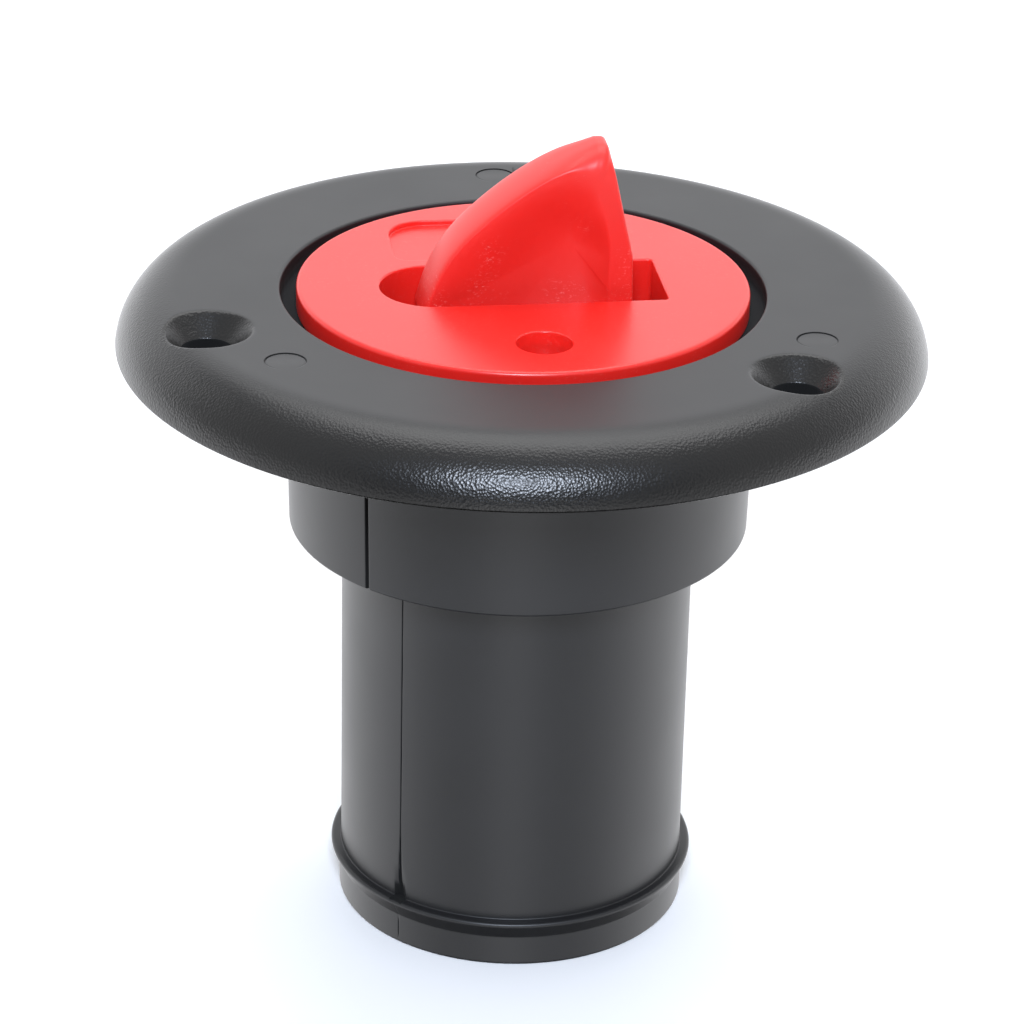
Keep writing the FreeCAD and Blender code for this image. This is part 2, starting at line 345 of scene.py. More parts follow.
def patch_loop(rows, columns, i0, i1, j0, j1):
    """Numbers of the vertices round a block of a grid whose columns close, in order."""
    low = [(i0, j) for j in range(j0, j1)]
    high = [(i1, j) for j in range(j1, j0, -1)]
    sides = [(i, j1) for i in range(i0, i1)], [(i, j0) for i in range(i1, i0, -1)]
    loop = np.array(low + sides[0] + high + sides[1])
    return loop[:, 0] % rows * columns + loop[:, 1] % columns


def ring_faces(outer, first, rings):
    """Faces from a loop of known vertices through further rings whose vertices start at first."""
    count = len(outer)
    table = np.concatenate([[outer], first + np.arange(rings * count).reshape(rings, count)])
    follow = np.roll(table, -1, axis=1)
    return np.stack([table[:-1], follow[:-1], follow[1:], table[1:]], -1).reshape(-1, 4)


def rim_height(r):
    """The flange's top: flat, then a quarter round, z = t - R (1 - cos b) where R sin b = r - flat_r."""
    drop = np.clip((r - (flange_r - rim_round)) / rim_round, 0, 1)
    return flange_t - rim_round * (1 - np.sqrt(1 - drop ** 2))


def grain_at(r):
    """How strongly the rim is grained at a radius: none on the flat, all from grain_fade outside it."""
    return np.clip((r - (flange_r - rim_round)) / grain_fade, 0, 1)


plain = np.linspace(0, math.tau, grid_columns, endpoint=False)
near_line = np.array([0.05, 0.09, 0.14, 0.2, 0.28, 0.38, 0.5, 0.64])
near_line = np.concatenate([-near_line[::-1], [0], near_line]) / hose_r
angles = [plain]
for line in (parting_angle, parting_angle - math.pi):
    angles = [a[np.abs(a - line) > 0.7 / hose_r] for a in angles] + [line + near_line]
angles = np.sort(np.concatenate(angles))
columns = len(angles)

top_rows = np.concatenate([np.linspace(opening_r + 0.42, flange_r - rim_round, 19), flange_r - rim_round
                           + rim_round * np.sin(np.radians(np.linspace(5, 82.3, 24)))])
under_rows = top_rows[(top_rows > collar_top_r + 0.8) & (top_rows < flange_r - 0.5)][::-1]
over = np.stack([top_rows, rim_height(top_rows)], 1)
under = np.stack([under_rows, 0 * under_rows], 1)
outer_skin = rounded([
    (collar_top_r, 0, 0.25), (collar_foot_r, collar_foot_z, 0.25), (hose_r, collar_foot_z, 0.2),
    (hose_r, shoulder_z, 0.12), (bead_r, shoulder_z, 0.32), (tail_end_r, bead_foot_z, 0.5),
    (tail_end_r, tail_z, 0.3), (tail_bore_r, tail_z, 0.3), (tail_bore_r, neck_floor_z, 0.3),
    (neck_bore_r, neck_floor_z, 0.4), (neck_bore_r, ledge_z, 0.3), (opening_r, ledge_z, 0.3),
    (opening_r, flange_t, 0.3), (flange_r, flange_t, 0)])[:-1]


def fill_in(profile, gap):
    """A profile with its long runs divided, so that no step is longer than gap."""
    parts = [profile[:1]]
    for start, end in zip(profile[:-1], profile[1:]):
        steps = max(1, math.ceil(np.linalg.norm(end - start) / gap))
        parts.append(start + (end - start) * (np.arange(1, steps + 1) / steps)[:, None])
    return np.concatenate(parts)


rim_foot = arc((flange_r - 0.36, 0.3), 0.3, -10, -90, 3)
profile = np.concatenate([over, rim_foot, under, fill_in(outer_skin, 2.0)])
under_start = len(over) + len(rim_foot)
fitting = Shell()
body = spin(profile, angles)

# the slides' parting line: a hair-fine groove, which opens into a wedge above the bead
height = profile[:, 1][:, None]
radius = profile[:, 0][:, None]
outside = ((np.arange(len(profile)) >= len(over) + len(under)) & (profile[:, 0] > hose_r - 0.3))[:, None]
outside = outside & (height < -0.2) & (height > tail_z + 0.5)
from_line = np.minimum(np.abs(angles - parting_angle), np.abs(angles - parting_angle + math.pi))
across = from_line[None, :] * radius
wedge = np.clip((wedge_top_z - height) / (wedge_top_z - shoulder_z), 0, 1) * (height > shoulder_z - 0.05)
broken = 0.55 + 0.45 * np.sin(height * 1.9) * np.sin(height * 0.73 + 1.0)
line_width = np.where(height > collar_foot_z, 0.17, 0.08) + 0.13 * wedge + 0.42 * wedge ** 6
line_depth = np.where(height > collar_foot_z, 0.26, 0.13 * broken) + 0.5 * wedge ** 0.5
line_depth = line_depth * np.where(height < shoulder_z - 0.2, 0.35, 1)
groove = outside * line_depth * np.exp(-(across / line_width) ** 4)
body[..., 0] -= groove * np.cos(angles)
body[..., 1] -= groove * np.sin(angles)

faces = grid_faces(len(profile), columns, close_rows=True).reshape(len(profile), columns, 4)
kept = np.ones(faces.shape[:2], bool)
holes = []


def block(r, angle, half):
    """The grid block of the flange's top round a place: first and last row and column."""
    i0 = np.searchsorted(top_rows, r - half) - 1
    i1 = np.searchsorted(top_rows, r + half)
    j0 = np.searchsorted(angles, angle - half / r) - 1
    j1 = np.searchsorted(angles, angle + half / r)
    return i0, i1, j0, j1


def between(outer, rings, aim):
    """Rings in plan: three that change from the grid's block to the first round one, then the round ones."""
    share = np.array([0.25, 0.5, 0.75])[:, None]
    distance = np.concatenate([outer * (1 - share) + rings[0] * share, rings[:, None] * np.ones(len(outer))])
    return distance[..., None] * aim


def under_block(i0, i1):
    """First and last row of the underside below a block of the top, whose rows are i0 to i1."""
    return [under_start + int(np.argmin(np.abs(under_rows - top_rows[i]))) for i in (i1, i0)]


for i in range(3):
    holes.append((screw_pcd / 2, (first_screw_angle + i * math.tau / 3) % math.tau, screw_sink_r + 0.7))
for r, degrees in ejector_marks:
    holes.append((r, math.radians(degrees), ejector_mark_r + 0.3))
for r, angle, half in holes:
    i0, i1, j0, j1 = block(r, angle, half)
    kept[i0:i1, j0:j1] = False
    if half > screw_sink_r:
        k0, k1 = under_block(i0, i1)
        kept[k0:k1, j0:j1] = False

# the mark attribute: 0 to 1 where the mould is grained, below 0 where shade is painted in the parting line's
# groove, the gap round the cap, the screw holes and the ejector marks
grain = np.zeros(len(profile))
grain[:under_start] = grain_at(profile[:under_start, 0])
# painted shade: the parting line's groove, and the shoulder where its wedge ends, are painted black
wedge_foot = (np.abs(height - shoulder_z) < 0.3) & (radius > hose_r - 0.3) & (radius < hose_r + 0.9)
wedge_foot = wedge_foot & (across < 0.62)
mark = np.broadcast_to(grain[:, None], body.shape[:2]) - 2.0 * ((groove > 0.03) | wedge_foot)
# painted shade: down in the opening round the cap, the ledge and the bore's walls are painted near black
in_gap = (radius < opening_r + 0.05) & (height < flange_t - 0.9) & (height > 0.5)
mark = np.where(in_gap, -0.8, mark)
fitting.add(body, faces[kept].tolist(), mark)


def sink_screw_hole(centre, loop, aim, reach, under_loop):
    """A countersunk hole: rings run from the block's edge over the rim of the cone, down the cone and
    down the hole's wall, whose foot is joined to the block below. The cone has 90 degrees, z = t - R + r."""
    rings = np.array([5.32, 5.2, 5.1, 5.0, 4.9, 4.8, 4.7, 4.6, 4.5, 4.4, 4.3, 4.2, 4.1, 4.0,
                      3.85, 3.6, 3.2, 2.95, 2.8, 2.72, 2.66])
    spot = between(reach, rings, aim)
    from_axis = np.linalg.norm(spot, axis=2)
    spot = spot + centre
    from_middle = np.linalg.norm(spot, axis=2)
    z = smooth_min(rim_height(from_middle), flange_t - screw_sink_r + from_axis, 0.10)
    wall = rounded([(screw_hole_r + 0.05, 3.9, 0), (screw_hole_r, 3.75, 0.08), (screw_hole_r, 0, 0.15),
                    (screw_hole_r + 0.6, 0, 0)], closed=False)[1:]
    wall = fill_in(wall, 0.9)
    wall_z = np.broadcast_to(wall[:, 1:, None], (len(wall), len(aim), 1))
    deep = np.concatenate([centre + wall[:, :1, None] * aim, wall_z], -1)
    strip = np.concatenate([np.concatenate([spot, z[..., None]], -1), deep])
    sunk_grain = np.clip((5.1 - from_axis.mean(1)) / 0.4, 0, 1)[:, None]
    painted = np.maximum(sunk_grain, grain_at(from_middle))
    # painted shade: the hole's wall below the cone is painted black
    first = fitting.add(strip, [], np.concatenate([painted.ravel(), -np.ones(len(wall) * len(aim))]))
    fitting.faces += ring_faces(loop, first, len(strip)).tolist()
    under_edge = body.reshape(-1, 3)[under_loop][:, :2] - centre
    turn_above, turn_below = [np.argsort(np.arctan2(way[:, 1], way[:, 0])) for way in (aim, under_edge)]
    matched = np.empty(len(loop), int)
    matched[turn_above] = under_loop[turn_below]
    last = first + (len(strip) - 1) * len(aim) + np.arange(len(aim))
    fitting.faces += np.stack([last, np.roll(last, -1), np.roll(matched, -1), matched], -1).tolist()


def press_ejector_mark(centre, loop, aim, reach):
    """A round mark inside a narrow sunk line, with shade painted dark along the line on its far side. The pin
    stood a little proud on its near side, so the mark is sunk on its far side only."""
    rings = ejector_mark_r + np.array([0.18, 0.12, 0.07, 0.03, 0, -0.04, -0.08, -0.13, -0.2, -0.6, -1.3])
    line_sunk = 0.16 * np.clip((ejector_mark_r + 0.07 - rings) / 0.07, 0, 1)
    face_raised = 0.1 * np.clip((ejector_mark_r - 0.04 - rings) / 0.09, 0, 1)
    shade_ring = np.abs(rings - ejector_mark_r - 0.02) < 0.09
    far_side = np.clip(0.55 + 0.6 * aim[:, 1], 0, 1)
    sunk = np.concatenate([np.zeros(3), line_sunk - face_raised])[:, None] * far_side
    # painted shade: the line's rings are painted dark, on the far side only
    line = -0.9 * np.concatenate([np.zeros(3), shade_ring])[:, None] * far_side
    spot = between(reach, rings, aim) + centre
    first = fitting.add(np.concatenate([spot, flange_t - sunk[..., None]], -1), [], line)
    fitting.faces += ring_faces(loop, first, len(spot)).tolist()
    fitting.faces.append([int(k) for k in first + (len(spot) - 1) * len(aim) + np.arange(len(aim))])


for r, angle, half in holes:
    i0, i1, j0, j1 = block(r, angle, half)
    loop = patch_loop(len(profile), columns, i0, i1, j0, j1)
    centre = np.array([r * math.cos(angle), r * math.sin(angle)])
    edge = body.reshape(-1, 3)[loop][:, :2] - centre
    reach = np.linalg.norm(edge, axis=1)
    aim = edge / reach[:, None]
    if half > screw_sink_r:
        under_loop = patch_loop(len(profile), columns, *under_block(i0, i1), j0, j1)
        sink_screw_hole(centre, loop, aim, reach, under_loop)
    else:
        press_ejector_mark(centre, loop, aim, reach)

neck_thread = helix_ridge(neck_bore_r, 21.1, -14.0, 1.5, 2.1, 1.1, 25.0)
fitting.add_grid(neck_thread, ends=True)


def new_material(name):
    """An empty node material with its shader, as (material, tree, shader)."""
    material = bpy.data.materials.new(name)
    material.use_nodes = True
    tree = material.node_tree
    return material, tree, tree.nodes["Principled BSDF"]


# Glass-filled nylon, injection moulded: dark grey-black with a satin skin. Where the mould is
# spark-eroded, its grain of about a quarter of a millimetre breaks a highlight into sparks.
black_nylon, tree, shader = new_material("moulded_black_nylon")
place_on = add_node(tree, "ShaderNodeTexCoord").outputs["Object"]
mark_here = add_node(tree, "ShaderNodeAttribute", {"attribute_name": "mark"}).outputs["Fac"]
eroded = add_node(tree, "ShaderNodeClamp", Value=mark_here).outputs[0]
# painted shade: where the mark is below zero the colour goes to black and the skin is dulled. This is shade
# painted into the parting line's groove, the gap round the cap, the screw holes' walls and the ejector marks'
# far edges
painted_shade = add_node(tree, "ShaderNodeMapRange", Value=mark_here, From_Min=-0.2, From_Max=-0.9, To_Min=0.0,
                To_Max=1.0)
cloud = add_node(tree, "ShaderNodeTexNoise", Vector=place_on, Scale=90.0, Detail=3.0, Roughness=0.55)
skin = add_node(tree, "ShaderNodeMix", {"data_type": "RGBA"}, Input_0=cloud.outputs[0],
                Input_6=srgb("171718"), Input_7=srgb("212122"))
grained = add_node(tree, "ShaderNodeMix", {"data_type": "RGBA"}, Input_0=eroded,
                   Input_6=skin.outputs[2], Input_7=srgb("0e0d0c"))
painted_shade_colour = add_node(tree, "ShaderNodeMix", {"data_type": "RGBA"}, Input_0=painted_shade.outputs[0],
                 Input_6=grained.outputs[2], Input_7=srgb("000000"))
tree.links.new(painted_shade_colour.outputs[2], shader.inputs["Base Color"])
satin = add_node(tree, "ShaderNodeMapRange", Value=eroded, From_Min=0.0, From_Max=1.0, To_Min=0.38,
                 To_Max=0.25)
patchy = add_node(tree, "ShaderNodeMath", {"operation": "MULTIPLY_ADD"}, Input_0=cloud.outputs[0],
                  Input_1=0.10, Input_2=satin.outputs[0])
dull_in_painted_shade = add_node(tree, "ShaderNodeMath", {"operation": "MULTIPLY_ADD", "use_clamp": True},
                     Input_0=painted_shade.outputs[0], Input_1=0.6, Input_2=patchy.outputs[0])
tree.links.new(dull_in_painted_shade.outputs[0], shader.inputs["Roughness"])
shader.inputs["IOR"].default_value = 1.5
grit = add_node(tree, "ShaderNodeTexVoronoi", Vector=place_on, Scale=1 / (0.27 * MM))
grit_share = add_node(tree, "ShaderNodeMath", {"operation": "MULTIPLY_ADD"}, Input_0=eroded, Input_1=0.97,
                      Input_2=0.03)
bumps = add_node(tree, "ShaderNodeBump", Height=grit.outputs["Distance"], Strength=grit_share.outputs[0],
                 Distance=0.034 * MM)
tree.links.new(bumps.outputs[0], shader.inputs["Normal"])

deck_fitting = fitting.mesh("deck_fitting_moulding", black_nylon)
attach(deck_fitting, "fitting")
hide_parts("deck_fitting")


# ---- cap -------------------------------------------------------------------------------------
# The screw cap is one moulding in red nylon, polished in the mould. A pocket for the lever opens in
# its face, with a blind key hole in front of it and a sunken label field, left blank, behind.
# Its hollow skirt carries the thread, and the shank above has the seal's groove.

cap_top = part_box("cap")[1].z / MM
pocket_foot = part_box("cap")[0].z / MM
cap_foot = -17.5
cap_r = 23.9
under_head = cap_top - 2.6
shank_r = 21.9
groove_r = 19.7
groove_top_z, groove_foot_z, shank_foot_z = -1.6, -4.5, -5.8
skirt_r, skirt_bore_r = 20.7, 18.4
slot_scoop_x, slot_end_x, slot_half = -15.2, 14.6, 5.65
pocket_floor = -17.1
pocket_wall = 1.7
web_half, web_foot = 3.5, 3.5
key_mount = next(mount for mount in frame["record"]["mounts"] if mount["name"] == "key_hole")
key_hole = np.array(key_mount["pos_m"][:2]) / MM
key_hole_r = key_mount["dims"]["r_mm"]
key_hole_depth = key_mount["dims"]["length_mm"]
label_half, label_low, label_high = 12.7, 7.4, 18.7
fold = next(joint for joint in frame["joints"] if joint["name"] == "lever_fold")
hinge_x, hinge_z = fold["pos_m"][0] / MM, fold["pos_m"][2] / MM
pin_r = 1.5


def circle(centre, radius, count):
    """Points round a circle, one after another without the first again."""
    a = np.linspace(0, math.tau, count, endpoint=False)
    return np.stack([centre[0] + radius * np.cos(a), centre[1] + radius * np.sin(a)], 1)


def evenly(outline, gap):
    """A closed outline with its runs divided, so that no step is longer than gap."""
    return fill_in(np.concatenate([outline, outline[:1]]), gap)[:-1]


def outward(outline):
    """Unit normals of a closed outline that runs anticlockwise."""
    along = np.roll(outline, -1, 0) - np.roll(outline, 1, 0)
    along = along / np.linalg.norm(along, axis=1)[:, None]
    return np.stack([along[:, 1], -along[:, 0]], 1)


def carried(outline, steps):
    """A profile carried round a closed outline: each (offset, z) step moves the outline out along its
    normals, and puts it at that height."""
    steps = np.array(steps)
    plan = outline[None] + outward(outline)[None] * steps[:, :1, None]
    return np.concatenate([plan, np.broadcast_to(steps[:, 1:, None], plan.shape[:2] + (1,))], -1)


def mouth(top, edge, depth, floor_round):
    """Profile of a sunken place: a rounded edge, an upright wall and a rounded foot."""
    a = np.radians(np.linspace(0, 90, 6))
    lip = np.stack([edge - edge * np.sin(a), top - edge + edge * np.cos(a)], 1)
    base_z = top - depth + floor_round - floor_round * np.sin(a)
    base = np.stack([floor_round * np.cos(a) - floor_round, base_z], 1)
    return [(edge + 0.12, top), *lip.tolist(), *base.tolist(), (-floor_round - 0.1, top - depth)]


def cover(shell, loops, z, mark=0.0):
    """Closes the flat between closed outlines at one height with triangles. The first is the outside."""
    points = np.concatenate(loops)
    triangles = tessellate_polygon([[Vector((x, y, 0)) for x, y in loop] for loop in loops])
    shell.add(np.column_stack([points, np.full(len(points), z)]), triangles, mark)


scoop_middle = (slot_scoop_x + slot_half, 0)
scoop = [(x, y, 0) for x, y in arc(scoop_middle, slot_half, 90, 270, 48)]
slot_corners = [*scoop, (slot_end_x, -slot_half, 0.45), (slot_end_x, slot_half, 0.45)]
slot_outline = evenly(rounded(slot_corners, steps=5), 0.8)
label_corners = [(-label_half, label_low, 1.6), (label_half, label_low, 1.6), (label_half, label_high, 4.0),
                 (-label_half, label_high, 4.0)]
label_outline = evenly(rounded(label_corners, steps=10), 0.6)
pocket_half = slot_half + pocket_wall
pocket_end_x = slot_end_x + pocket_wall
pocket_bend = [(x, y, 0) for x, y in arc(scoop_middle, pocket_half, 90, 270, 48)]
pocket_corners = [*pocket_bend, (pocket_end_x, -pocket_half, 1.0), (pocket_end_x, pocket_half, 1.0)]
pocket_skin = evenly(rounded(pocket_corners), 0.8)

cap_shell = Shell()
cap_skin = fill_in(rounded([
    (cap_r - 0.8, cap_top, 0), (cap_r, cap_top, 0.4), (cap_r, under_head, 0.25), (shank_r, under_head, 0.12),
    (shank_r, groove_top_z, 0.15), (groove_r, groove_top_z, 0.25), (groove_r, groove_foot_z, 0.25),
    (shank_r, groove_foot_z, 0.15), (shank_r, shank_foot_z, 0.3), (skirt_r, shank_foot_z, 0.3),
    (skirt_r, cap_foot, 0.4), (skirt_bore_r, cap_foot, 0.4), (skirt_bore_r, under_head, 0.5),
    (skirt_bore_r - 0.8, under_head, 0)], steps=5, closed=False), 0.6)
cap_columns = 360
around = np.linspace(0, math.tau, cap_columns, endpoint=False)
skin_grid = spin(cap_skin, around)
cap_faces = grid_faces(len(cap_skin), cap_columns).reshape(-1, cap_columns, 4)
cap_kept = np.ones(cap_faces.shape[:2], bool)

# the pin's bore enters through the shank, above the seal
shank_rows = np.flatnonzero((np.abs(cap_skin[:, 0] - shank_r) < 1e-6) & (cap_skin[:, 1] > -1))
i0, i1 = shank_rows[0], shank_rows[np.argmin(np.abs(cap_skin[shank_rows, 1] - (hinge_z - pin_r - 0.3)))]
bore_angle = math.tau - math.acos(hinge_x / shank_r)
j0 = np.searchsorted(around, bore_angle - 0.13) - 1
j1 = np.searchsorted(around, bore_angle + 0.13)
cap_kept[i0:i1, j0:j1] = False
cap_shell.add(skin_grid, cap_faces[cap_kept].tolist())
loop = patch_loop(len(cap_skin), cap_columns, i0, i1, j0, j1)
edge = skin_grid.reshape(-1, 3)[loop][:, ::2] - np.array([hinge_x, hinge_z])
aim = edge / np.linalg.norm(edge, axis=1)[:, None]
bore_rings = np.array([pin_r + 0.08, pin_r + 0.02, pin_r, pin_r, pin_r, pin_r])
bore_deep = np.array([0, 0.03, 0.1, 1.5, 6.0, 11.0])
spot = bore_rings[:, None, None] * aim[None]
bore_x = hinge_x + spot[..., 0]
bore_y = -np.sqrt(shank_r ** 2 - bore_x ** 2) + bore_deep[:, None]
strip = np.stack([bore_x, bore_y, hinge_z + spot[..., 1]], -1)
first = cap_shell.add(strip, [])
cap_shell.faces += ring_faces(loop, first, len(strip)).tolist()
cap_shell.faces.append([int(k) for k in first + (len(strip) - 1) * len(aim) + np.arange(len(aim))])

slot_profile = fill_in(np.array(mouth(cap_top, 0.22, cap_top - pocket_floor, 0.4)), 3.0)
slot_wall = carried(slot_outline, slot_profile)
key_outline = circle(key_hole, key_hole_r, 72)
key_wall = carried(key_outline, mouth(cap_top, 0.16, key_hole_depth, 0.3))
label_wall = carried(label_outline, mouth(cap_top, 0.18, 0.6, 0.12))
for wall in (slot_wall, key_wall, label_wall):
    cap_shell.add_grid(wall)
    cover(cap_shell, [wall[-1, :, :2]], wall[-1, 0, 2])
mouths = [wall[0, :, :2] for wall in (slot_wall, key_wall, label_wall)]
cover(cap_shell, [skin_grid[0, :, :2], *mouths], cap_top)

pocket = carried(pocket_skin, [(0, under_head), (0, under_head - 6), (0, pocket_foot + 0.4),
                               (-0.1, pocket_foot + 0.12), (-0.4, pocket_foot), (-0.6, pocket_foot)])
cap_shell.add_grid(pocket)
cover(cap_shell, [skin_grid[-1, :, :2], pocket_skin], under_head)
cover(cap_shell, [pocket[-1, :, :2]], pocket_foot)

# inside the skirt: the key hole's boss, and a web on each side of the pocket that holds the pin. The
# near web's outer side slants, so that its corners stay inside the shank.
boss_wall = 1.8
boss_foot = cap_top - key_hole_depth - boss_wall
boss_r, boss_in_r, boss_top = key_hole_r + boss_wall, key_hole_r + 0.05, cap_top - 1.4
boss_floor = boss_foot + boss_wall - 0.05
boss = rounded([(boss_in_r, boss_top, 0), (boss_r, boss_top, 0), (boss_r, boss_foot, 0.3),
                (0.02, boss_foot, 0), (0.02, boss_floor, 0), (boss_in_r, boss_floor, 0)])
boss_grid = spin(boss, np.linspace(0, math.tau, 72, endpoint=False))
cap_shell.add_grid(boss_grid + np.array([*key_hole, 0.0]), close_rows=True)
beside_slot = slot_half + 1.4
for near_left, near_right, far in ((-20.0, -17.0, -beside_slot), (beside_slot, beside_slot, 11.5)):
    web = rounded([(hinge_x - web_half, near_left, 0.3), (hinge_x + web_half, near_right, 0.3),
                   (hinge_x + web_half, far, 0.3), (hinge_x - web_half, far, 0.3)])
    web_steps = [(0, under_head + 0.5), (0, hinge_z - web_foot + 0.3), (-0.1, hinge_z - web_foot + 0.1),
                 (-0.25, hinge_z - web_foot)]
    cap_shell.add_grid(carried(web, web_steps), ends=True)
cap_shell.add_grid(helix_ridge(skirt_r, 22.0, -16.0, 1.5, 2.1, 1.1, 25.0), ends=True)


# Red nylon from a polished mould: a bright even red, a little light going into it, with a soft gloss.
# Handling dulls it, and leaves faint pale scuffs and specks where fingers and a key rub.
def red_moulding(name, scuffed):
    """The red, dulled and scuffed by a share from 0 to 1. Scuffs come thickest near the cap's face."""
    material, tree, shader = new_material(name)
    on_piece = add_node(tree, "ShaderNodeTexCoord").outputs["Object"]
    flow = add_node(tree, "ShaderNodeTexNoise", Vector=on_piece, Scale=70.0, Detail=2.0, Roughness=0.5)
    body_colour = add_node(tree, "ShaderNodeMix", {"data_type": "RGBA"}, Input_0=flow.outputs[0],
                           Input_6=srgb("d8211b"), Input_7=srgb("e2261e"))
    stretched = add_node(tree, "ShaderNodeMapping", Vector=on_piece, Scale=(1.0, 1.0, 1.8))
    rubbed = add_node(tree, "ShaderNodeTexNoise", Vector=stretched.outputs[0], Scale=1 / (0.45 * MM),
                      Detail=5.0, Roughness=0.7)
    where = add_node(tree, "ShaderNodeTexNoise", Vector=on_piece, Scale=1 / (6.0 * MM), Detail=1.0)
    height = add_node(tree, "ShaderNodeSeparateXYZ", Vector=on_piece)
    low_down = add_node(tree, "ShaderNodeMapRange", Value=height.outputs["Z"], From_Min=(cap_top + 6) * MM,
                        From_Max=cap_top * MM, To_Min=0.0, To_Max=0.16)
    patch = add_node(tree, "ShaderNodeMath", {"operation": "ADD"}, Input_0=where.outputs[0],
                     Input_1=low_down.outputs[0])
    chosen = add_node(tree, "ShaderNodeMapRange", Value=patch.outputs[0], From_Min=0.56, From_Max=0.74)
    fine = add_node(tree, "ShaderNodeMapRange", Value=rubbed.outputs[0], From_Min=0.56, From_Max=0.72)
    speck = add_node(tree, "ShaderNodeMath", {"operation": "MULTIPLY"}, Input_0=chosen.outputs[0],
                     Input_1=fine.outputs[0])
    scuff = add_node(tree, "ShaderNodeMath", {"operation": "MULTIPLY"}, Input_0=speck.outputs[0],
                     Input_1=scuffed)
    pale = add_node(tree, "ShaderNodeMix", {"data_type": "RGBA"}, Input_0=scuff.outputs[0],
                    Input_6=body_colour.outputs[2], Input_7=srgb("f0807a"))
    tree.links.new(pale.outputs[2], shader.inputs["Base Color"])
    rough = add_node(tree, "ShaderNodeMath", {"operation": "MULTIPLY_ADD"}, Input_0=flow.outputs[0],
                     Input_1=0.08, Input_2=0.24 + 0.16 * scuffed)
    tree.links.new(rough.outputs[0], shader.inputs["Roughness"])
    shader.inputs["IOR"].default_value = 1.52
    shader.inputs["Subsurface Weight"].default_value = 0.3
    shader.inputs["Subsurface Radius"].default_value = (1.0, 0.2, 0.1)
    shader.inputs["Subsurface Scale"].default_value = 1.2 * MM
    ripple = add_node(tree, "ShaderNodeTexNoise", Vector=on_piece, Scale=1 / (2.5 * MM), Detail=2.0)
    bump = add_node(tree, "ShaderNodeBump", Height=ripple.outputs[0], Strength=0.12, Distance=0.05 * MM)
    tree.links.new(bump.outputs[0], shader.inputs["Normal"])
    return material


cap = cap_shell.mesh("screw_cap_moulding", red_moulding("polished_red_nylon", 0.25))
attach(cap, "screw_cap")
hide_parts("cap")


# ---- lever -----------------------------------------------------------------------------------
# A quarter-round thumb lever, moulded in the same red nylon. Its rim is rounded right over, its
# straight spine is flat, and both faces are dished for finger and thumb. It turns on the cross pin.

lean = math.radians(14.2)
half_t = 3.6
spine_at, tip_at, bend_at = -4.4, 20.6, 7.55
heel_r = 3.0
knuckle_half = 5.4
dish_depth = 1.9
outline_points = 440


def arc_through(first, middle, last, steps):
    """Points of the circle's arc through three points, found where their bisectors cross."""
    first, middle, last = map(np.array, (first, middle, last))
    sides = np.stack([middle - first, last - first])
    centre = np.linalg.solve(2 * sides, [middle @ middle - first @ first, last @ last - first @ first])
    turn = [math.atan2(*(p - centre)[::-1]) for p in (first, last)]
    if turn[1] - turn[0] > math.pi:
        turn[1] -= math.tau
    if turn[0] - turn[1] > math.pi:
        turn[1] += math.tau
    return arc(centre, np.linalg.norm(first - centre), *np.degrees(turn), steps)


def spread_evenly(outline, count):
    """A closed outline's points, moved to even steps along it."""
    closed = np.concatenate([outline, outline[:1]])
    along = np.concatenate([[0], np.cumsum(np.linalg.norm(np.diff(closed, axis=0), axis=1))])
    at = np.linspace(0, along[-1], count, endpoint=False)
    return np.stack([np.interp(at, along, closed[:, k]) for k in (0, 1)], 1)


def softened(values, reach):
    """Values round a closed outline, blurred by a bell curve of that many steps."""
    n = len(values)
    away_steps = np.minimum(np.arange(n), n - np.arange(n))
    bell = np.exp(-0.5 * (away_steps / reach) ** 2)
    return np.real(np.fft.ifft(np.fft.fft(values) * np.fft.fft(bell / bell.sum())))


# Places on the lever are (below, along): away from the spine, and from the pin towards the tip.
low_rim, turn_rim, tip_rim = (18.7, 7.0), (12.2, 14.5), (spine_at + 0.75, tip_at - 0.75)
rim = np.concatenate([arc_through(low_rim, (16.1, 11.2), turn_rim, 40),
                      arc_through(turn_rim, (4.8, 17.95), tip_rim, 40)[1:]])
heel = arc((0, 0), heel_r, 180 - math.degrees(lean), 270, 12)
spine = rounded([(*rim[-1], 0), (spine_at - 0.3, tip_at - 1.0, 0.6), (spine_at, bend_at, 2.5), (*heel[0], 0)],
                steps=6, closed=False)
belly = rounded([(*heel[-1], 0), (low_rim[0], -heel_r, 0.6), (*low_rim, 0)], closed=False)
blade = spread_evenly(np.concatenate([rim, spine[1:-1], heel, belly[1:-1]]), outline_points)

# The dish's edge follows the rim just inside it, leaves a land along the spine, and is widely
# rounded below the tip.
inside_rim = [(x - 0.62, y - 0.42, 0) for x, y in rim[:66]]
dish_corners = [(-2.4, 18.75, 2.6), (-2.75, 11.0, 14.0), (0.4, -1.2, 2.0), (low_rim[0] - 1.0, -1.6, 1.5)]
dish = spread_evenly(rounded([*inside_rim, *dish_corners], steps=8), 600)
pole = np.array([1.6, 10.2])


def reach_at(outline, angles):
    """The outline's distance from the pole in each direction, read off between its points."""
    away_from = outline - pole
    bearing = np.arctan2(away_from[:, 1], away_from[:, 0])
    order = np.argsort(bearing)
    return np.interp(angles, bearing[order], np.linalg.norm(away_from, axis=1)[order], period=math.tau)


ray = blade - pole
reach = np.linalg.norm(ray, axis=1)
bearing = np.arctan2(ray[:, 1], ray[:, 0])
dish_reach = softened(reach_at(dish, bearing), 2)

